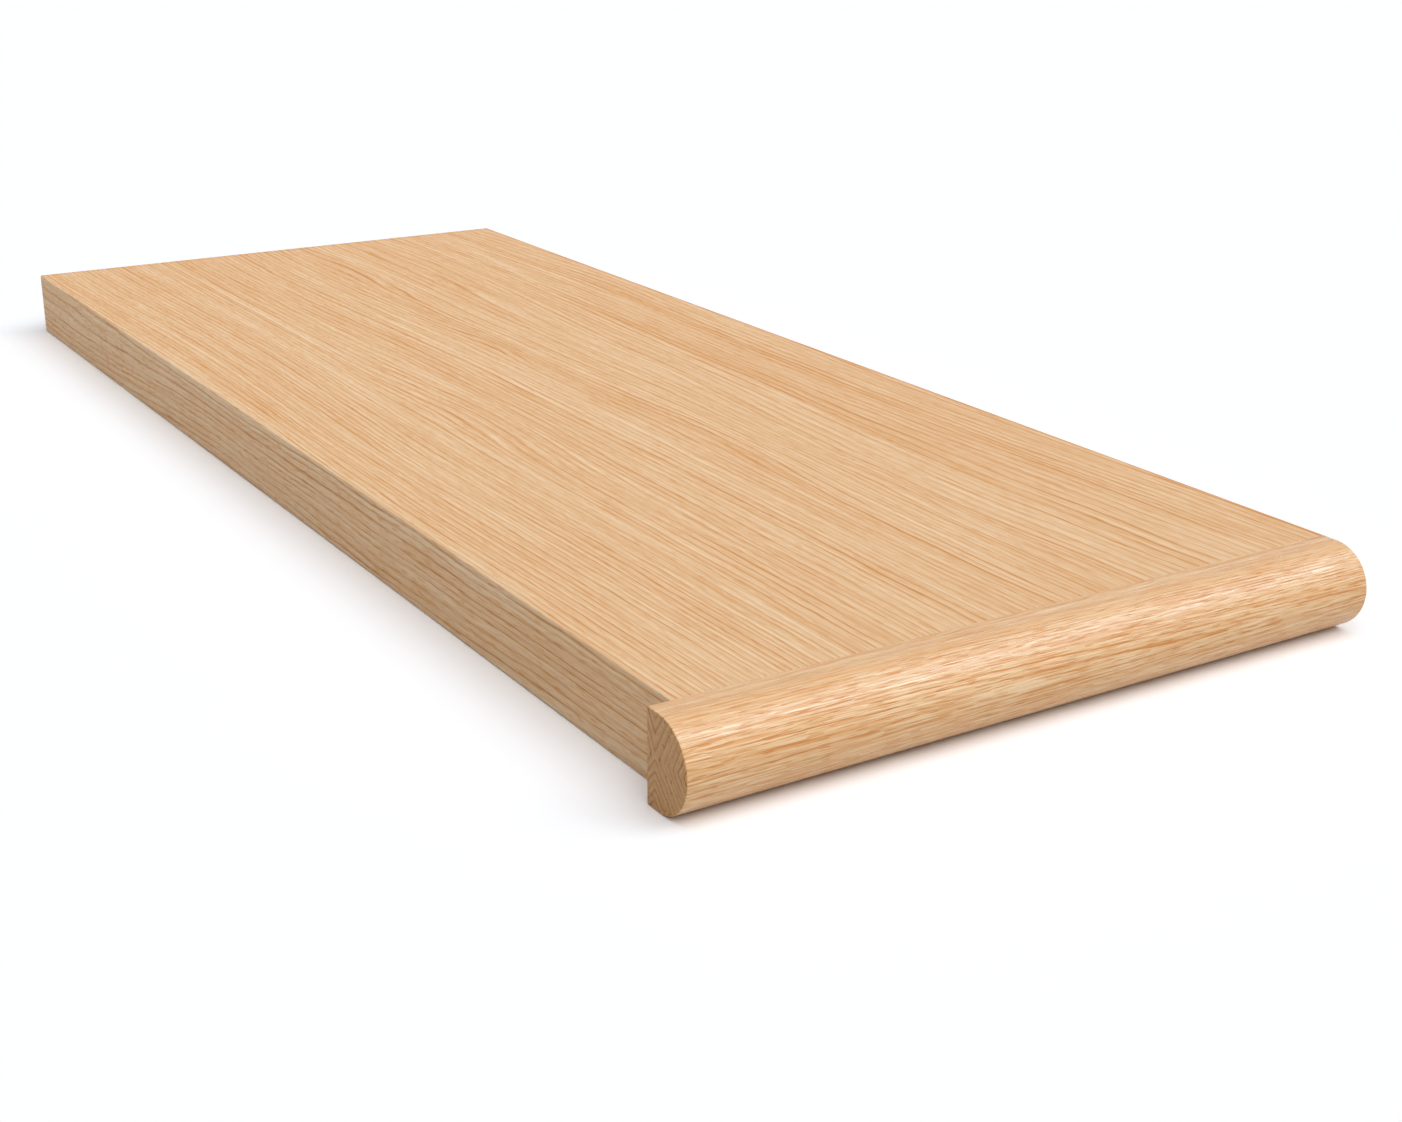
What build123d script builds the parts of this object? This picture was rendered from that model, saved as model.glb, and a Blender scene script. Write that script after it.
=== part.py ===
"""An oak stair tread: a square-edged board with a bullnose nosing glued across its front end.

The frame has X along the nosing, Y from the nosing to the back of the board and Z up. The origin is the
centre of the bounding box at its underside, so the tread lies flat on the plane Z = 0. Millimetres.
"""

import os

from build123d import *

# Driving dimensions.
thickness = 32.0  # of the board, and the height of the nosing
board_width = 280.0  # along X
board_length = 678.0  # along Y, from the glue joint to the back end
nosing_flat = 6.0  # flat land of the nosing, from the glue joint to the start of its round
nosing_overhang = 8.0  # how far the nosing's left end stands past the board's left side
arris = 0.5  # radius of the sanded edges

# The nosing is a full bullnose: its front is one half circle as high as the board is thick.
nosing_radius = thickness / 2
nosing_depth = nosing_flat + nosing_radius
nosing_length = board_width + nosing_overhang

# Planes of the assembly.
overall_length = board_length + nosing_depth
right_x = nosing_length / 2
left_x = -nosing_length / 2
board_left_x = left_x + nosing_overhang
front_y = -overall_length / 2
joint_y = front_y + nosing_depth
back_y = joint_y + board_length
round_y = joint_y - nosing_flat
middle_z = thickness / 2


def block(x_low, x_high, y_low, y_high, z_low, z_high):
    """A box between two corners."""
    low_corner = Location((x_low, y_low, z_low))
    size = (x_high - x_low, y_high - y_low, z_high - z_low)
    return low_corner * Box(*size, align=(Align.MIN, Align.MIN, Align.MIN))


def lies_in_joint(edge):
    """True for an edge of the glued face, which stays sharp."""
    return all(abs(vertex.Y - joint_y) < arris / 2 for vertex in edge.vertices())


def tread_board():
    """The board, with every edge eased but those of its glued front end."""
    board = block(board_left_x, right_x, joint_y, back_y, 0, thickness)
    eased = [edge for edge in board.edges() if not lies_in_joint(edge)]
    return fillet(eased, arris)


def nosing():
    """The nosing strip: flat back, short flat lands above and below, half-round front, eased ends."""
    outline = Polyline(
        (round_y, 0),
        (joint_y, 0),
        (joint_y, thickness),
        (round_y, thickness),
    ) + ThreePointArc((round_y, thickness), (front_y, middle_z), (round_y, 0))
    section = Plane.YZ.offset(left_x) * make_face(outline)
    strip = extrude(section, amount=nosing_length)
    end_faces = strip.faces().filter_by(Axis.X)
    eased = [edge for edge in end_faces.edges() if not lies_in_joint(edge)]
    return fillet(eased, arris)


def main():
    os.makedirs("parts", exist_ok=True)
    export_step(tread_board(), "parts/tread_board.step")
    export_step(nosing(), "parts/nosing.step")


main()
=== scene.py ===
"""Looks of an oak stair tread: a board with a bullnose nosing glued across its front end.

It lies on a white studio floor. Places and sizes are in metres unless a name ends in _mm or a comment says
millimetres. The wood's pattern is solid: one field of growth rings, fibres and pores for each piece gives its
colour, its gloss and the relief of its mesh.
"""

import math

import bpy
import numpy as np
from mathutils import Matrix, Vector


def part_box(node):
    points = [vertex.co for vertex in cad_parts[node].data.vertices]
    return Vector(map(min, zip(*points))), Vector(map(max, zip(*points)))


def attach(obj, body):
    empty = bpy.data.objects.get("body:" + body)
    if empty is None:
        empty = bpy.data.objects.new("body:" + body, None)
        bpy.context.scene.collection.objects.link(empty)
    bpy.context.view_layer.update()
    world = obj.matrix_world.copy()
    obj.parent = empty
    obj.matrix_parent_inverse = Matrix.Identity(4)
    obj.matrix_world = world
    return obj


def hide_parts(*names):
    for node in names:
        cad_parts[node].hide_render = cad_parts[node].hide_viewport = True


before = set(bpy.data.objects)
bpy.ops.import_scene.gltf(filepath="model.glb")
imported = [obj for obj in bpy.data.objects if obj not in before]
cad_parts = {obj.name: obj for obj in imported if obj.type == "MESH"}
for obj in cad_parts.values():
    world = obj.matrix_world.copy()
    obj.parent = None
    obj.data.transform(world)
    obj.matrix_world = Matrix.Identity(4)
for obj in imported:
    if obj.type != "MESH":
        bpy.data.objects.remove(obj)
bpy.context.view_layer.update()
board_low, board_high = (Vector(corner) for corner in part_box("tread_board"))
nosing_low, nosing_high = (Vector(corner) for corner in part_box("nosing"))

MM = 0.001

# The camera, from the photograph's outline: its place, its direction and its angle of view.
CAMERA_PLACE = Vector((-0.4151, -0.7801, 0.2730))
CAMERA_YAW = math.radians(32.61)  # to the right of +Y
CAMERA_PITCH = math.radians(20.37)  # downwards
CAMERA_ROLL = math.radians(0.50)
PHOTO_WIDTH = 1402  # pixels
FOCAL_PIXELS = 1981.8  # the focal length, in the photograph's pixels
SENSOR_WIDTH = 36.0  # millimetres
CLIP_NEAR = 0.01
CLIP_FAR = 100.0

# The light. A white surface that faces up gets an irradiance of pi, so a colour renders as it is written.
SKY_LEVELS = (0.162, 0.176, 0.196)  # of red, green and blue: the sky is a little cool
SKY_SEEN = (1.0, 1.0, 1.0)  # white in the camera's eyes
KEY_LEVEL = 0.70  # share of the top face's light that comes from the wide soft box overhead
KEY_AIM = (65, -87)  # degrees: its elevation, and its bearing from +X towards +Y
KEY_ANGLE = math.radians(72)
SIDE_LEVEL = 0.08
SIDE_AIM = (44, -27)
SIDE_ANGLE = math.radians(34)
GLOSS_LEVEL = 0.24  # a lamp that only shows in the gloss
GLOSS_AIM = (46, -26)
GLOSS_ANGLE = math.radians(30)
GLOSS_COLOUR = (0.72, 1.10, 1.55)
FLOOR_ALBEDO = (0.75, 0.735, 0.705)  # its colour for the light that it throws back
FLOOR_SEEN = (1.053, 1.060, 1.075)  # its colour in the camera's eyes: white where nothing shades it
FLOOR_SIZE = 30.0

# The meshes.
ARRIS = 0.5 * MM
FOOT_ARRIS = 1.0 * MM  # of the board's lower edges
ARRIS_STEPS = 4
ARRIS_BORDER = 0.08 * MM  # from an arris to the points that keep the shading of the flat face beside it flat
RELIEF_STEP = 0.7 * MM  # between points across the grain
COARSE_STEP = 12 * MM  # between points on the board's underside
BACK_POINTS = 3  # on the nosing's glued face, which gets no relief
BOARD_STATION = 6 * MM  # between points along the board's grain
NOSING_STATION = 3 * MM  # between points along the nosing's grain
RING_DEPTH = 0.012 * MM  # how far the dark ring lines lie below the surface
FIBRE_DEPTH = 0.006 * MM
SHARP_ANGLE = math.radians(40)  # edges that turn by more than this keep a sharp shading


def add_object(name, data):
    """An object with this data, in the scene."""
    thing = bpy.data.objects.new(name, data)
    bpy.context.scene.collection.objects.link(thing)
    return thing


# Outlines and swept solids.

def spread(start, end, step):
    """Evenly spaced values from start up to, but not including, end."""
    count = max(1, round(abs(end - start) / step))
    return np.linspace(start, end, count, endpoint=False)


def straight(start, end, step, outward):
    """Points on a straight run, as rows of (u, v, outward u, outward v)."""
    length = math.dist(start, end)
    border = ARRIS_BORDER / length
    share = np.concatenate([[0.0], spread(border, 1.0 - border, step / length), [1.0 - border]])[:, None]
    places = (1 - share) * np.array(start) + share * np.array(end)
    return np.hstack([places, np.tile(outward, (len(places), 1))])


def arc(centre, radius, from_angle, to_angle, step):
    """Points on an arc, as rows of (u, v, outward u, outward v). step is a share of the arc."""
    angles = from_angle + (to_angle - from_angle) * spread(0.0, 1.0, step)
    outward = np.stack([np.cos(angles), np.sin(angles)], axis=1)
    return np.hstack([np.array(centre) + radius * outward, outward])


def swept(name, stations, place):
    """A closed mesh through a list of stations.

    Each is a ring of (u, v, outward u, outward v), its distance along the sweep, and how far its outward
    direction leans along the sweep. place(u, v, along) gives a point.
    """
    points = []
    outward = []
    for ring, along, lean in stations:
        straight_on = math.sqrt(1 - lean * lean)
        for u, v, out_u, out_v in ring:
            points.append(place(u, v, along))
            outward.append(place(out_u * straight_on, out_v * straight_on, lean))
    size = len(stations[0][0])
    faces = []
    for station in range(len(stations) - 1):
        for index in range(size):
            after = (index + 1) % size
            low = station * size
            high = low + size
            faces.append((low + index, low + after, high + after, high + index))
    faces.append(tuple(reversed(range(size))))
    faces.append(tuple(range((len(stations) - 1) * size, len(stations) * size)))
    mesh = bpy.data.meshes.new(name)
    mesh.from_pydata(points, [], faces)
    store = mesh.attributes.new("outward", "FLOAT_VECTOR", "POINT")
    store.data.foreach_set("vector", np.array(outward, np.float32).ravel())
    return add_object(name, mesh)


def arris_stations(section, end, direction):
    """The rounded edge at one end of a sweep: rings that draw in as they near the end."""
    for angle in np.linspace(0, math.pi / 2, ARRIS_STEPS + 1):
        inset = ARRIS * (1 - math.cos(angle))
        along = end - direction * ARRIS * (1 - math.sin(angle))
        yield section(inset), along, direction * math.sin(angle)


def board_piece(low, high):
    """The board: a rounded rectangle swept along Y, with a square glued front end and a coarse underside."""
    def section(inset):
        radius = ARRIS - inset
        foot = FOOT_ARRIS - inset
        left, right = low.x + ARRIS, high.x - ARRIS
        foot_left, foot_right = low.x + FOOT_ARRIS, high.x - FOOT_ARRIS
        bottom, top = low.z + FOOT_ARRIS, high.z - ARRIS
        quarter = math.pi / 2
        step = 1 / ARRIS_STEPS
        return np.vstack([
            straight((left, top + radius), (right, top + radius), RELIEF_STEP, (0, 1)),
            arc((right, top), radius, quarter, 0, step),
            straight((right + radius, top), (right + radius, bottom), RELIEF_STEP, (1, 0)),
            arc((foot_right, bottom), foot, 0, -quarter, step),
            straight((foot_right, bottom - foot), (foot_left, bottom - foot), COARSE_STEP, (0, -1)),
            arc((foot_left, bottom), foot, -quarter, -2 * quarter, step),
            straight((left - radius, bottom), (left - radius, top), RELIEF_STEP, (-1, 0)),
            arc((left, top), radius, 2 * quarter, quarter, step),
        ])

    last = high.y - ARRIS - ARRIS_BORDER
    body = [(section(0.0), y, 0.0) for y in [*spread(low.y, last, BOARD_STATION), last]]
    back = list(arris_stations(section, high.y, 1))
    return swept("board", body + back, lambda u, v, along: (u, along, v))


def nosing_piece(low, high):
    """The nosing: flat back and lands, and a half-round front, swept along X and eased at both ends."""
    middle_z = (low.z + high.z) / 2
    radius = (high.z - low.z) / 2
    round_y = low.y + radius
    half_turn = math.pi * radius

    def section(inset):
        top, bottom = high.z - inset, low.z + inset
        return np.vstack([
            straight((high.y, top), (round_y, top), RELIEF_STEP, (0, 1)),
            arc((round_y, middle_z), radius - inset, math.pi / 2, 3 * math.pi / 2, RELIEF_STEP / half_turn),
            straight((round_y, bottom), (high.y, bottom), RELIEF_STEP, (0, -1)),
            straight((high.y, bottom), (high.y, top), (top - bottom) / BACK_POINTS, (0, 0)),
        ])

    insets = spread(ARRIS + ARRIS_BORDER, radius - RELIEF_STEP, RELIEF_STEP)
    left_cap = [(section(inset), low.x, -1.0) for inset in insets]
    right_cap = [(section(inset), high.x, 1.0) for inset in insets]
    left = list(arris_stations(section, low.x, -1))
    right = list(arris_stations(section, high.x, 1))
    first, last = low.x + ARRIS + ARRIS_BORDER, high.x - ARRIS - ARRIS_BORDER
    body = [(section(0.0), x, 0.0) for x in [*spread(first, last, NOSING_STATION), last]]
    stations = left_cap[::-1] + left[::-1] + body + right + right_cap
    return swept("nosing_strip", stations, lambda u, v, along: (along, u, v))


# Node trees. The same functions draw a piece's field in its material and in the Geometry Nodes of its relief.

SEED_STEP = (1.7, 3.1, 0.9)  # how far one seed moves a noise


class Graph:
    """Short names for the nodes of one tree. A value is a number, a vector or another node's output."""

    def __init__(self, tree):
        self.tree = tree

    def node(self, kind, **settings):
        node = self.tree.nodes.new(kind)
        for name, value in settings.items():
            setattr(node, name, value)
        return node

    def put(self, socket, value):
        if isinstance(value, bpy.types.NodeSocket):
            self.tree.links.new(value, socket)
        else:
            socket.default_value = value

    def show(self, kind, surface):
        """Ends the tree with this surface on an output node of this kind."""
        self.put(self.node(kind).inputs["Surface"], surface)

    def math(self, operation, *values):
        node = self.node("ShaderNodeMath", operation=operation)
        for socket, value in zip(node.inputs, values):
            self.put(socket, value)
        return node.outputs[0]

    def vector(self, operation, *values):
        node = self.node("ShaderNodeVectorMath", operation=operation)
        for socket, value in zip(node.inputs, values):
            self.put(socket, value)
        return node.outputs["Value"] if operation in ("LENGTH", "DOT_PRODUCT") else node.outputs["Vector"]

    def parts(self, vector):
        node = self.node("ShaderNodeSeparateXYZ")
        self.put(node.inputs[0], vector)
        return node.outputs[0], node.outputs[1], node.outputs[2]

    def join(self, x, y, z):
        node = self.node("ShaderNodeCombineXYZ")
        for socket, value in zip(node.inputs, (x, y, z)):
            self.put(socket, value)
        return node.outputs[0]

    def total(self, *values):
        result = values[0]
        for value in values[1:]:
            result = self.math("ADD", result, value)
        return result

    def product(self, *values):
        result = values[0]
        for value in values[1:]:
            result = self.math("MULTIPLY", result, value)
        return result

    def weighted(self, field, weights):
        """The sum of a field's features, each times its weight."""
        return self.total(*(self.product(field[name], weight) for name, weight in weights.items()))

    def between(self, share, low, high):
        """From low to high, as share runs from 0 to 1."""
        return self.math("MULTIPLY_ADD", share, high - low, low)

    def centred(self, value, amount):
        """Noise from 0 to 1, moved to swing by about amount each side of 0."""
        return self.math("MULTIPLY", self.math("SUBTRACT", value, 0.5), 2 * amount)

    def rise(self, value, low, high, to_low=0.0, to_high=1.0):
        """A smooth step from low to high."""
        node = self.node("ShaderNodeMapRange", interpolation_type="SMOOTHSTEP")
        for name, number in (("From Min", low), ("From Max", high), ("To Min", to_low), ("To Max", to_high)):
            self.put(node.inputs[name], number)
        self.put(node.inputs["Value"], value)
        return node.outputs["Result"]

    def stroke(self, saw, starts, full, fades, ends):
        """A soft-sided stroke. saw runs from 0 to 1 across each ring, and the rest are places in the ring."""
        return self.math("MULTIPLY", self.rise(saw, starts, full), self.rise(saw, fades, ends, 1.0, 0.0))

    def noise(self, place, size_mm, detail=0.0, roughness=0.5, seed=0.0):
        """Noise from about 0 to 1 with features of these three sizes."""
        scaled = self.vector("DIVIDE", place, size_mm)
        shifted = self.vector("ADD", scaled, tuple(seed * step for step in SEED_STEP))
        node = self.node("ShaderNodeTexNoise", noise_dimensions="3D")
        self.put(node.inputs["Vector"], shifted)
        self.put(node.inputs["Scale"], 1.0)
        self.put(node.inputs["Detail"], detail)
        self.put(node.inputs["Roughness"], roughness)
        return node.outputs[0]


def fresh_graph(owner):
    """The emptied node tree of a material or a world."""
    owner.use_nodes = True
    owner.node_tree.nodes.clear()
    return Graph(owner.node_tree)


class Oak:
    """How one piece of oak looks.

    Lengths are in millimetres, in the piece's (across, up, along) directions. Strengths are shares of the way
    from the wood's palest colour to its darkest.
    """

    def __init__(self, **values):
        for name, value in values.items():
            setattr(self, name, value)


# Figures in the top faces: place across and along, lean, half width and half length, how far they push the
# rings aside and how much they stain the wood. A few of the board's rows use the stain to paint light and
# shade.
# Lengths in millimetres.
BOARD_FIGURES_AND_PAINTED_LIGHT = (
    (0, -350, 0.0, 400, 200, 0.0, -0.045),  # painted light: the near end of the top is a little paler, where the light falls stronger
    (68, 320, 0.0, 24, 160, 8.5, 0.0),  # the arches that open towards the back end
    (63, 165, 0.02, 4.0, 40, 1.2, 0.18),
    (68, 250, 0.02, 4.0, 40, 0.6, 0.16),
    (13, 78, 0.02, 6.0, 36, 2.8, 0.18),
    (25, 262, 0.0, 12, 80, 4.5, 0.0),
    (22, 250, 0.06, 2.0, 90, 0.0, 0.16),
    (-47, 242, 0.0, 5.0, 30, 1.6, 0.18),
    (-136, 0, 0.0, 30, 2000, 5.0, 0.0),  # the rings stand closer together by the left edge
    (-50, -28, 0.0, 19, 85, 6.0, 0.0),  # the long bow in the middle
    (-47, -10, 0.0, 4.0, 80, 0.0, 0.10),
    (24, -117, 0.0, 13, 70, 3.5, 0.06),
    (45, -206, -0.03, 5.0, 40, 2.0, 0.18),
    (48, -300, -0.03, 6.0, 36, 2.2, 0.16),
    (92, -180, 0.0, 3.0, 200, 0.0, 0.10),
    (114, -180, 0.0, 3.0, 260, 0.0, 0.14),
    (128, -60, 0.0, 9.0, 420, 0.0, 0.07),  # darker wood along the right edge
    (34.5, 220, 0.004, 1.3, 170, 0.0, -0.34),  # long pale lines
    (27, -160, 0.03, 1.3, 190, 0.0, -0.28),
    (-12, 60, 0.006, 1.3, 300, 0.0, -0.32),
    (-63, 180, 0.0, 1.1, 150, 0.0, -0.26),
    (99, 223, 0.115, 2.2, 85, 0.0, -0.26),
    (-30, -190, 0.0, 1.1, 150, 0.0, -0.20),
    (-96, -88, 0.02, 6.0, 60, 0.0, -0.12),
    (144, 0, 0.0, 1.5, 900, 0.0, 0.95),  # painted shade: a darker rim along the right and the back edge of the top, where the rounded edge turns away from the light
    (4, 350, 0.0, 600, 3.0, 0.0, 0.35),
)
NOSING_FIGURES = (
    (-329.2, 0, 0.0, 1.5, 900, 0.0, 0.14),  # a darker line by the joint, and a pale one further out
    (-331.6, 60, 0.002, 0.6, 160, 0.0, -0.34),
    (-331.2, -100, 0.004, 0.5, 50, 0.0, -0.22),
    (-334.2, 0, 0.0, 1.4, 900, 0.0, 0.07),
)
FIGURE_REACH_MM = 40.0  # how deep below the top they go
top_mm = board_high.z / MM  # where the top faces lie

# The board's rings run round a pith far below and to the right, so they stand closer together at the left.
BOARD_OAK = Oak(
    along=1,  # the grain runs along Y
    figures=BOARD_FIGURES_AND_PAINTED_LIGHT,
    seed=1.0,
    pith=(349, -287),  # across and up
    crossed=False,  # rings around the pith, and not chevrons
    ring=2.4,  # from one dark line to the next
    uneven=1.5,  # how far their spacing swings
    slant=0.0,  # how steeply they rise along the grain
    wander=8.0,  # how far they stray in long waves, in shorter ones and in a shiver
    wave=1.2,
    shiver=0.34,
    fine_ring=1.2,  # from one finer line to the next
    run=2.5,  # how many times a line's usual length it runs
    fibre_size=(0.65, 0.65, 9),
    thread_size=(1.6, 1.6, 40),
    line=0.50,  # strengths of what is darker than the wood around it
    fine=0.0,
    thread=0.06,
    pore=0.14,
    pale=0.20,  # strengths of what is paler
    # gleam: pale threads, whose paler colour is a painted highlight and whose lower roughness and raised bump
    # are real gloss
    gleam=0.06,
    band=0.25,  # how far the tone swings both ways, from the widest pattern to the finest
    patch=0.06,
    streak=0.15,
    hair=0.12,
    fibre=0.12,
    top_gain=0.0,  # the change in contrast on the flat top
    side_gain=-0.05,  # the change on the upright sides in contrast, pores, tone and brightness, where the paler tone is a painted sheen and the added brightness is painted light
    side_pore=0.16,
    side_painted_sheen=-0.10,
    side_painted_light=0.035,
    side_shade=0.12,  # how much darker their ring lines are
    side_polish=0.125,  # how much smoother they are
    roughness=0.80,
    specular=0.25,
    bump=0.03,
    tint=(1.0, 0.998, 0.992),
)

# The nosing's end grain is two pairs of nested chevrons around a crossing near its glued side.
NOSING_OAK = Oak(
    along=0,  # the grain runs along X
    figures=NOSING_FIGURES,
    seed=7.0,
    pith=(-332.3, 17.4),
    crossed=True,
    ring=2.3,
    uneven=0.8,
    slant=0.02,
    wander=1.6,
    wave=0.6,
    shiver=0.42,
    fine_ring=1.05,
    run=1.5,
    fibre_size=(0.5, 0.5, 9),
    thread_size=(0.8, 0.8, 34),
    line=0.36,
    fine=0.42,
    thread=0.08,
    pore=0.34,
    pale=0.20,
    gleam=0.36,
    band=0.08,
    patch=0.02,
    streak=0.07,
    hair=0.26,
    fibre=0.18,
    top_gain=-0.45,
    side_gain=0.0,
    side_pore=0.0,
    side_painted_sheen=0.0,
    side_painted_light=0.0,
    side_shade=0.0,
    side_polish=0.0,
    roughness=0.36,
    specular=0.28,
    bump=0.10,
    tint=(1.0, 0.95, 0.86),
)
CROSS_STEEPNESS = 1.7  # of the chevrons' legs
CROSS_LOWER = 1.5  # how much less steep the lower legs are
CROSS_ROUNDING_MM = 0.5  # at the chevrons' tips

# The waves in which the rings stray: the Oak value that says how far, and the noise's size and detail.
RING_WAVES = (
    ("wander", (60, 60, 300), 0.0),
    ("wave", (14, 14, 75), 1.0),
    ("shiver", (3.5, 3.5, 18), 1.0),
)
UNEVEN_MM = 5.0  # depth over which the rings' spacing changes

# Where each kind of stroke starts, is full, fades and ends, from 0 at one ring to 1 at the next.
LINE_STROKE = (0.0, 0.09, 0.13, 0.37)
PALE_STROKE = (0.54, 0.70, 0.80, 0.96)
FINE_STROKE = (0.0, 0.12, 0.20, 0.50)
LINE_LEVELS = (0.5, 1.1)  # the weakest and the strongest ring's dark line
PALE_LEVELS = (0.2, 1.1)
FADE = (0.36, 0.60)  # noise at which a stroke that comes and goes is weakest and strongest
THREAD_CORE = 0.02  # distance from the middle of the noise at which a thread starts to fade
SHEET_CHANGE = 0.02  # how much a sheet's noise changes in each millimetre of height
PORE_SIZE = (0.55, 0.55, 7)
PORE_EDGE = (0.58, 0.68)  # noise at which a pore starts and is full
DOT_SIZE = (1.9, 1.9, 30)
DOT_EDGE = (0.71, 0.78)


def grain_place(graph, position, oak):
    """The position in millimetres, turned so that its third part runs along the grain."""
    x, y, z = graph.parts(graph.vector("MULTIPLY", position, (1 / MM, 1 / MM, 1 / MM)))
    return graph.join(x, z, y) if oak.along == 1 else graph.join(y, z, x)


def figures(graph, place, oak):
    """How far a piece's figures push its rings, and how much they stain it and paint light and shade on it.
    """
    push = 0.0
    stain_and_painted_light = 0.0
    for across, along, lean, half_width, half_length, pushed, stain_and_painted_light_weight in oak.figures:
        offset = graph.vector("SUBTRACT", place, (across, top_mm, along))
        if lean:
            aside, up, ahead = graph.parts(offset)
            offset = graph.join(graph.math("MULTIPLY_ADD", ahead, -lean, aside), up, ahead)
        offset = graph.vector("DIVIDE", offset, (half_width, FIGURE_REACH_MM, half_length))
        square = graph.vector("DOT_PRODUCT", offset, offset)
        bell = graph.math("EXPONENT", graph.math("MULTIPLY", square, -1.0))
        if pushed:
            push = graph.math("MULTIPLY_ADD", bell, pushed, push)
        if stain_and_painted_light_weight:
            stain_and_painted_light = graph.math("MULTIPLY_ADD", bell, stain_and_painted_light_weight, stain_and_painted_light)
    return push, stain_and_painted_light


def growth_depth(graph, place, oak):
    """How deep in the growth rings a place lies, in millimetres."""
    across, up, along = graph.parts(place)
    aside = graph.math("SUBTRACT", across, oak.pith[0])
    above = graph.math("SUBTRACT", up, oak.pith[1])
    if oak.crossed:
        above = graph.math("MAXIMUM", above, graph.math("MULTIPLY", above, -CROSS_LOWER))
        upright = graph.vector("LENGTH", graph.join(above, CROSS_ROUNDING_MM, 0.0))
        level = graph.vector("LENGTH", graph.join(aside, CROSS_ROUNDING_MM, 0.0))
        unit = 1 / math.hypot(1, CROSS_STEEPNESS)
        upright = graph.math("MULTIPLY", upright, unit)
        depth = graph.math("MULTIPLY_ADD", level, -CROSS_STEEPNESS * unit, upright)
    else:
        depth = graph.vector("LENGTH", graph.join(aside, above, 0.0))
    depth = graph.math("ADD", depth, graph.math("MULTIPLY", along, oak.slant))
    for index, (name, size_mm, detail) in enumerate(RING_WAVES):
        wave = graph.noise(place, size_mm, detail, seed=oak.seed + index)
        depth = graph.math("ADD", depth, graph.centred(wave, getattr(oak, name)))
    layer = graph.join(graph.math("DIVIDE", depth, UNEVEN_MM), 0.0, 0.0)
    uneven = graph.noise(layer, (1, 1, 1), seed=oak.seed + 10)
    return graph.math("ADD", depth, graph.centred(uneven, oak.uneven))


def oak_field(graph, position, oak):
    """The wood's features at a place, each from about 0 to 1."""
    place = grain_place(graph, position, oak)
    _, up, along = graph.parts(place)
    push, stain_and_painted_light = figures(graph, place, oak)
    depth = graph.math("ADD", growth_depth(graph, place, oak), push)
    phase = graph.math("DIVIDE", depth, oak.ring)
    saw = graph.math("FRACT", phase)
    fine_saw = graph.math("FRACT", graph.math("DIVIDE", depth, oak.fine_ring))
    each_ring = graph.node("ShaderNodeTexWhiteNoise", noise_dimensions="1D")
    graph.put(each_ring.inputs["W"], graph.math("FLOOR", phase))
    line_share, pale_share, _ = graph.parts(each_ring.outputs["Color"])

    def comes_and_goes(across, length, least, seed):
        """From least to 1, in patches that run along the grain."""
        noise = graph.noise(place, (across, across, length * oak.run), 1.0, seed=oak.seed + seed)
        return graph.rise(noise, *FADE, least, 1.0)

    def layered(thickness, length, detail, seed):
        """Noise in sheets that follow the rings."""
        sheet = graph.join(
            graph.math("DIVIDE", depth, thickness),
            graph.math("MULTIPLY", up, SHEET_CHANGE),
            graph.math("DIVIDE", along, length),
        )
        return graph.noise(sheet, (1, 1, 1), detail, 0.6, seed=oak.seed + seed)

    def threads(width, seed):
        """Thin lines that run along the grain, part and meet again, and come and go."""
        noise = graph.noise(place, oak.thread_size, 1.0, seed=oak.seed + seed)
        edge = graph.math("ABSOLUTE", graph.math("SUBTRACT", noise, 0.5))
        shown = comes_and_goes(2.5, 16, least=0.5, seed=seed + 20)
        return graph.product(graph.rise(edge, THREAD_CORE, width, 1.0, 0.0), shown)

    return {
        "line": graph.product(
            graph.stroke(saw, *LINE_STROKE),
            graph.between(line_share, *LINE_LEVELS),
            comes_and_goes(4.5, 30, least=0.45, seed=3),
        ),
        "pale": graph.product(
            graph.stroke(saw, *PALE_STROKE),
            graph.between(pale_share, *PALE_LEVELS),
            comes_and_goes(2.2, 24, least=0.0, seed=12),
        ),
        "fine": graph.product(
            graph.stroke(fine_saw, *FINE_STROKE),
            comes_and_goes(1.4, 20, least=0.0, seed=30),
        ),
        "stain_and_painted_light": stain_and_painted_light,
        "band": layered(thickness=6.0, length=600.0, detail=1.0, seed=4),
        "streak": layered(thickness=1.6, length=26.0 * oak.run, detail=1.0, seed=11),
        "hair": layered(thickness=0.5, length=14.0 * oak.run, detail=0.0, seed=13),
        "patch": graph.noise(place, (26, 26, 110), detail=2.0, roughness=0.55, seed=oak.seed + 5),
        "fibre": graph.noise(place, oak.fibre_size, detail=1.0, roughness=0.6, seed=oak.seed + 6),
        "thread": threads(width=0.13, seed=8),
        # gleam: pale threads; their paler tone paints highlight streaks, while their lower roughness and
        # raised bump give real gloss
        "gleam": threads(width=0.10, seed=15),
        "pore": graph.rise(graph.noise(place, PORE_SIZE, seed=oak.seed + 14), *PORE_EDGE),
        "dot": graph.rise(graph.noise(place, DOT_SIZE, seed=oak.seed + 16), *DOT_EDGE),
    }


# Oak colours, linear, from the palest streak to the darkest line.
OAK_COLOURS = (
    (0.00, (0.915, 0.700, 0.468, 1)),
    (0.25, (0.856, 0.601, 0.370, 1)),
    (0.50, (0.782, 0.486, 0.258, 1)),
    (0.75, (0.726, 0.379, 0.160, 1)),
    (1.00, (0.645, 0.278, 0.085, 1)),
)
MIDDLE_TONE = 0.5
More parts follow.
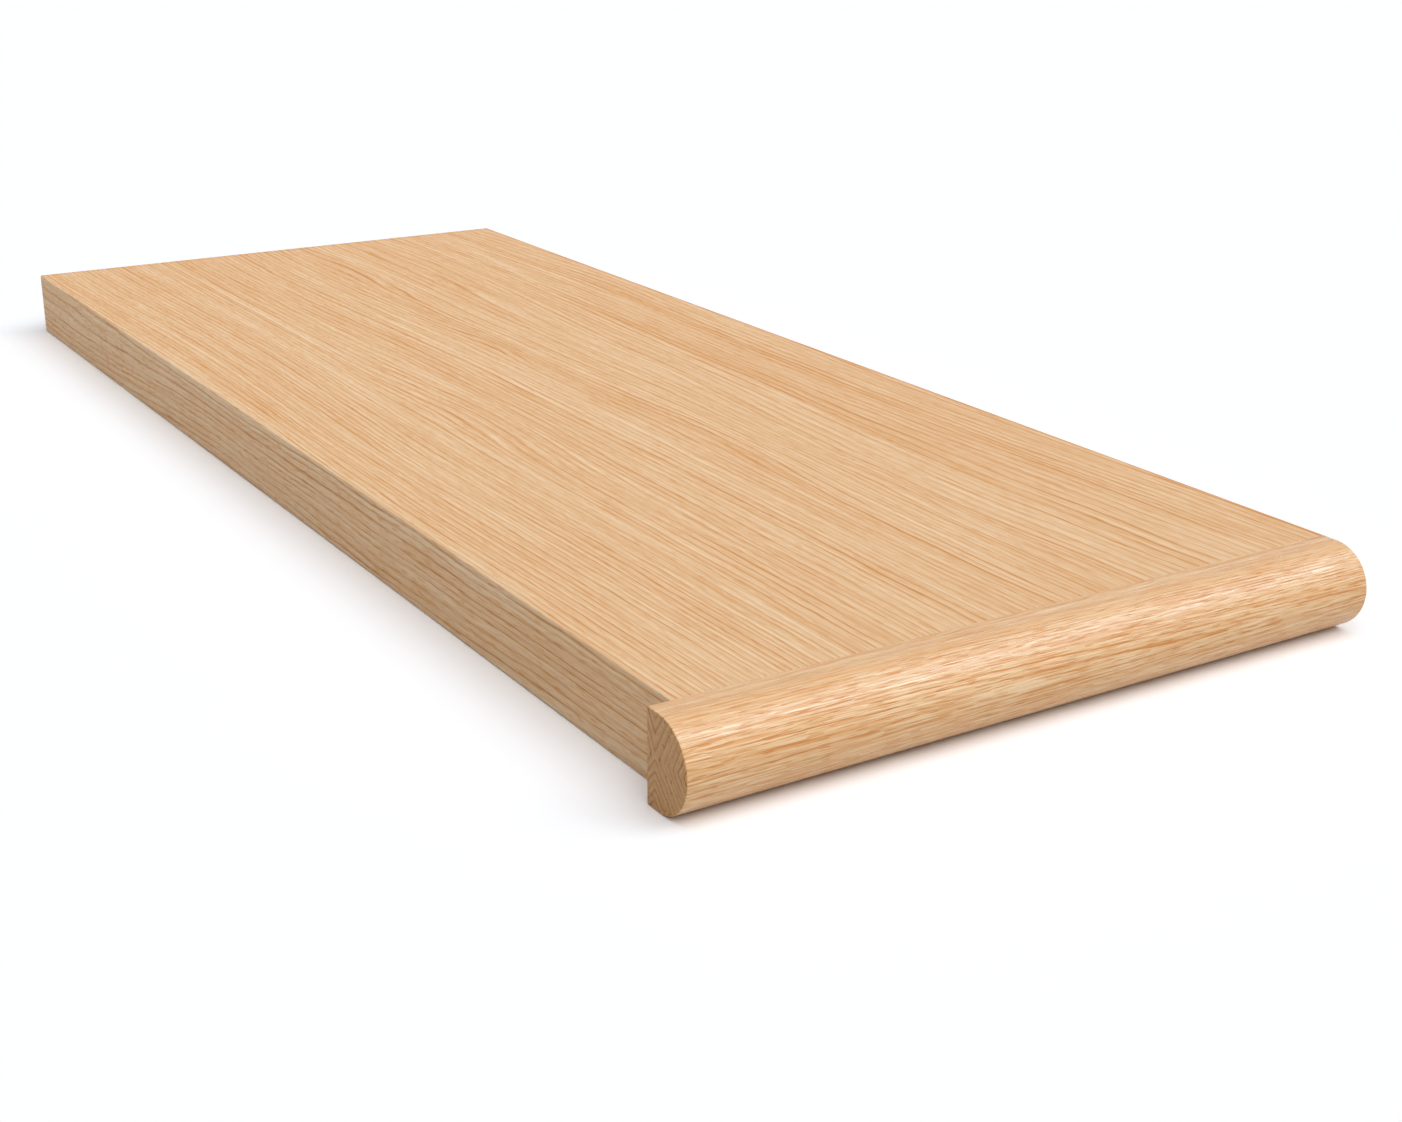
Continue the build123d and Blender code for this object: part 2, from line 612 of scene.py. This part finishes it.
# About the mean of each feature, taken off so that its strength doesn't change the wood's mean tone.
FEATURE_MEANS = {"line": 0.12, "pale": 0.10, "fine": 0.14, "thread": 0.16, "gleam": 0.16, "pore": 0.14}
SWINGS = ("streak", "hair", "fibre", "band", "patch")  # these swing the tone both ways
STAIN_AND_PAINTED_LIGHT_SHARE = 0.6  # of a figure's stain and painted light in plain wood
STAIN_AND_PAINTED_LIGHT_LINE_SHARE = 0.8  # what the dark ring lines take on top of that

# End grain: what it adds to the strengths of features, and how they shade it. The shade makes its dark rings
# and its dots browner, and not redder.
END_GRAIN_TINT = (0.71, 0.60, 0.39)  # cut fibres drink in more light
END_TONES = {"line": 0.50, "pale": -0.10, "dot": 0.40}
END_SHADES = {"line": -0.09, "dot": -0.26, "pale": 0.14}

# How far a face has to be turned to count, as the normal's share that points that way.
END_TURN = (0.55, 0.85)  # also for the sides
TOP_TURN = (0.88, 0.99)
STAIN_AND_PAINTED_LIGHT_TURN = (0.02, 0.3)  # figures neither stain upright faces nor paint light on them

# The bump and the gloss: what each feature adds to the height and to the roughness.
BUMP_HEIGHTS = {"line": -0.5, "fibre": -0.2, "fine": -0.4, "pore": -0.5, "gleam": 0.5}
FIBRE_ROUGHNESS = 0.25  # a swing both ways
GLEAM_ROUGHNESS = -0.20


def oak_tone(graph, field, end_grain, along_grain, side, up, oak):
    """The tone of the wood, from 0 at its palest to 1 at its darkest."""
    strengths = {
        "line": oak.line,
        "pale": -oak.pale,
        "fine": oak.fine,
        "thread": oak.thread,
        # painted highlight: the gleam threads make the tone paler
        "gleam": -oak.gleam,
        "pore": oak.pore,
    }
    mean = sum(FEATURE_MEANS[name] * strength for name, strength in strengths.items())
    ringed = [
        graph.product(field[name], graph.math("MULTIPLY_ADD", end_grain, END_TONES[name], strengths[name]))
        for name in ("line", "pale")
    ]
    swings = [graph.centred(field[name], getattr(oak, name)) for name in SWINGS]
    drawn = [graph.product(field[name], along_grain, strengths[name]) for name in ("fine", "thread", "gleam")]
    pore_strength = graph.math("MULTIPLY_ADD", side, oak.side_pore, oak.pore)
    pores = graph.product(field["pore"], along_grain, pore_strength)
    dots = graph.product(field["dot"], end_grain, END_TONES["dot"])
    contrast = graph.total(-mean, *ringed, dots, *swings, *drawn, pores)
    gain = graph.total(
        1.0,
        graph.product(side, oak.side_gain),
        graph.product(graph.rise(up, *TOP_TURN), oak.top_gain),
    )
    # The figures' stains, with the painted shade of the board's rim and the painted light at its near end,
    # only on faces that look up
    stain_and_painted_light_weight = graph.math("MULTIPLY_ADD", field["line"], STAIN_AND_PAINTED_LIGHT_LINE_SHARE, STAIN_AND_PAINTED_LIGHT_SHARE)
    return graph.total(
        MIDDLE_TONE,
        graph.product(contrast, gain),
        graph.product(field["stain_and_painted_light"], stain_and_painted_light_weight, graph.rise(up, *STAIN_AND_PAINTED_LIGHT_TURN)),
        # painted sheen: a paler tone on the upright sides
        graph.product(side, oak.side_painted_sheen),
    )


def tone_colour(graph, tone):
    """The colour of a tone from 0 to 1."""
    ramp = graph.node("ShaderNodeValToRGB")
    first, last = ramp.color_ramp.elements
    first.position, first.color = OAK_COLOURS[0]
    last.position, last.color = OAK_COLOURS[-1]
    for place, colour in OAK_COLOURS[1:-1]:
        ramp.color_ramp.elements.new(place).color = colour
    graph.put(ramp.inputs[0], tone)
    return ramp.outputs[0]


def oak_shade(graph, field, end_grain, side, oak):
    """How bright the wood is beside its tone: what shades its end grain and the lines on its sides, and
    painted light that brightens its sides.
    """
    # painted light: the upright sides get a plain lift in brightness, beside their darker ring lines
    side_shade = graph.math("MULTIPLY_ADD", field["line"], -oak.side_shade, oak.side_painted_light)
    return graph.total(
        1.0,
        graph.product(graph.weighted(field, END_SHADES), end_grain),
        graph.product(side, side_shade),
    )


def oak_material(name, oak):
    material = bpy.data.materials.new(name)
    graph = fresh_graph(material)
    coordinates = graph.node("ShaderNodeTexCoord")
    field = oak_field(graph, coordinates.outputs["Object"], oak)
    across, along, up = (graph.math("ABSOLUTE", part) for part in graph.parts(coordinates.outputs["Normal"]))
    if oak.along == 0:
        across, along = along, across
    end_grain = graph.rise(along, *END_TURN)
    along_grain = graph.math("SUBTRACT", 1.0, end_grain)
    side = graph.rise(across, *END_TURN)

    tone = oak_tone(graph, field, end_grain, along_grain, side, up, oak)
    end_change = tuple(part - 1 for part in END_GRAIN_TINT)
    tint = graph.vector("MULTIPLY_ADD", graph.join(end_grain, end_grain, end_grain), end_change, (1, 1, 1))
    shade = oak_shade(graph, field, end_grain, side, oak)
    tint = graph.vector("MULTIPLY", tint, graph.join(shade, shade, shade))
    colour = graph.vector("MULTIPLY", graph.vector("MULTIPLY", tone_colour(graph, tone), tint), oak.tint)

    bump = graph.node("ShaderNodeBump")
    graph.put(bump.inputs["Strength"], 1.0)
    graph.put(bump.inputs["Distance"], oak.bump * MM)
    graph.put(bump.inputs["Height"], graph.product(graph.weighted(field, BUMP_HEIGHTS), along_grain))
    roughness = graph.total(
        oak.roughness,
        graph.centred(field["fibre"], FIBRE_ROUGHNESS),
        graph.product(field["gleam"], GLEAM_ROUGHNESS),
        graph.product(side, -oak.side_polish),
    )
    shader = graph.node("ShaderNodeBsdfPrincipled")
    graph.put(shader.inputs["Base Color"], colour)
    graph.put(shader.inputs["Roughness"], roughness)
    graph.put(shader.inputs["Specular IOR Level"], oak.specular)
    graph.put(shader.inputs["Normal"], bump.outputs[0])
    graph.show("ShaderNodeOutputMaterial", shader.outputs[0])
    return material


def carve(piece, oak):
    """Lowers the mesh along its ring lines and fibres, inwards only, and applies the result."""
    tree = bpy.data.node_groups.new("relief_" + piece.name, "GeometryNodeTree")
    for direction in ("INPUT", "OUTPUT"):
        tree.interface.new_socket("Geometry", in_out=direction, socket_type="NodeSocketGeometry")
    graph = Graph(tree)
    start = graph.node("NodeGroupInput")
    end = graph.node("NodeGroupOutput")
    position = graph.node("GeometryNodeInputPosition").outputs[0]
    field = oak_field(graph, position, oak)
    depth = graph.total(
        graph.product(field["line"], RING_DEPTH),
        graph.product(graph.math("SUBTRACT", 1.0, field["fibre"]), FIBRE_DEPTH),
    )
    outward = graph.node("GeometryNodeInputNamedAttribute", data_type="FLOAT_VECTOR")
    graph.put(outward.inputs["Name"], "outward")
    inward = graph.node("ShaderNodeVectorMath", operation="SCALE")
    graph.put(inward.inputs[0], outward.outputs["Attribute"])
    graph.put(inward.inputs["Scale"], graph.math("MULTIPLY", depth, -1.0))
    moved = graph.node("GeometryNodeSetPosition")
    graph.put(moved.inputs["Geometry"], start.outputs[0])
    graph.put(moved.inputs["Offset"], inward.outputs[0])
    graph.put(end.inputs[0], moved.outputs[0])
    modifier = piece.modifiers.new("relief", "NODES")
    modifier.node_group = tree
    depsgraph = bpy.context.evaluated_depsgraph_get()
    carved = bpy.data.meshes.new_from_object(piece.evaluated_get(depsgraph))
    piece.modifiers.clear()
    plain = piece.data
    piece.data = carved
    bpy.data.meshes.remove(plain)
    bpy.data.node_groups.remove(tree)


def finish_piece(piece, node, slot, oak):
    """Carves and paints a piece, attaches it to the root body, and hides the CAD node that it stands for."""
    carve(piece, oak)
    piece.data.shade_smooth()
    piece.data.set_sharp_from_angle(angle=SHARP_ANGLE)
    piece.data.materials.clear()
    piece.data.materials.append(oak_material(slot + "_wood", oak))
    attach(piece, "root")
    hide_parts(node)


# The studio.

def seen_or_lit(graph, seen_colour, lit_colour):
    """One colour for what the camera, gloss or glass shows, another for the rays that light things."""
    path = graph.node("ShaderNodeLightPath")
    seen = graph.math("MAXIMUM", path.outputs["Is Camera Ray"], path.outputs["Is Glossy Ray"])
    seen = graph.math("MAXIMUM", seen, path.outputs["Is Transmission Ray"])
    return graph.join(*(graph.between(seen, lit, shown) for shown, lit in zip(seen_colour, lit_colour)))


def studio_world():
    world = bpy.data.worlds.new("studio")
    bpy.context.scene.world = world
    graph = fresh_graph(world)
    background = graph.node("ShaderNodeBackground")
    graph.put(background.inputs["Color"], seen_or_lit(graph, SKY_SEEN, SKY_LEVELS))
    graph.show("ShaderNodeOutputWorld", background.outputs[0])


def studio_floor():
    material = bpy.data.materials.new("white_floor")
    graph = fresh_graph(material)
    diffuse = graph.node("ShaderNodeBsdfDiffuse")
    graph.put(diffuse.inputs["Color"], seen_or_lit(graph, FLOOR_SEEN, FLOOR_ALBEDO))
    graph.show("ShaderNodeOutputMaterial", diffuse.outputs[0])
    mesh = bpy.data.meshes.new("floor")
    half = FLOOR_SIZE / 2
    corners = [(-half, -half, 0), (half, -half, 0), (half, half, 0), (-half, half, 0)]
    mesh.from_pydata(corners, [], [(0, 1, 2, 3)])
    mesh.materials.append(material)
    floor = add_object("floor", mesh)


def soft_lamp(name, level, aim, angle):
    """A far lamp that gives a surface facing up this share of its light."""
    elevation, bearing = (math.radians(degrees) for degrees in aim)
    flat = math.cos(elevation)
    direction = Vector((flat * math.cos(bearing), flat * math.sin(bearing), math.sin(elevation)))
    lamp = bpy.data.lights.new(name, "SUN")
    lamp.energy = level * math.pi / direction.z
    lamp.angle = angle
    holder = add_object(name, lamp)
    holder.rotation_euler = direction.to_track_quat("Z", "Y").to_euler()
    return holder


def photo_camera():
    data = bpy.data.cameras.new("camera")
    data.sensor_width = SENSOR_WIDTH
    data.lens = FOCAL_PIXELS / PHOTO_WIDTH * SENSOR_WIDTH
    data.clip_start = CLIP_NEAR
    data.clip_end = CLIP_FAR
    forward = Vector((
        math.sin(CAMERA_YAW) * math.cos(CAMERA_PITCH),
        math.cos(CAMERA_YAW) * math.cos(CAMERA_PITCH),
        -math.sin(CAMERA_PITCH),
    ))
    level_right = Vector((math.cos(CAMERA_YAW), -math.sin(CAMERA_YAW), 0))
    level_up = level_right.cross(forward)
    right = level_right * math.cos(CAMERA_ROLL) + level_up * math.sin(CAMERA_ROLL)
    up = level_up * math.cos(CAMERA_ROLL) - level_right * math.sin(CAMERA_ROLL)
    turn = Matrix((right, up, -forward)).transposed()
    camera = add_object("camera", data)
    camera.matrix_world = Matrix.Translation(CAMERA_PLACE) @ turn.to_4x4()
    bpy.context.scene.camera = camera


board = board_piece(board_low, board_high)
nosing = nosing_piece(nosing_low, nosing_high)
finish_piece(board, "tread_board", "board_oak", BOARD_OAK)
finish_piece(nosing, "nosing", "nosing_oak", NOSING_OAK)

studio_world()
studio_floor()
soft_lamp("key", KEY_LEVEL, KEY_AIM, KEY_ANGLE)
soft_lamp("side", SIDE_LEVEL, SIDE_AIM, SIDE_ANGLE)
gloss = soft_lamp("gloss", GLOSS_LEVEL, GLOSS_AIM, GLOSS_ANGLE)
gloss.visible_diffuse = False
gloss.data.color = GLOSS_COLOUR
photo_camera()
bpy.context.scene.view_settings.view_transform = "Standard"
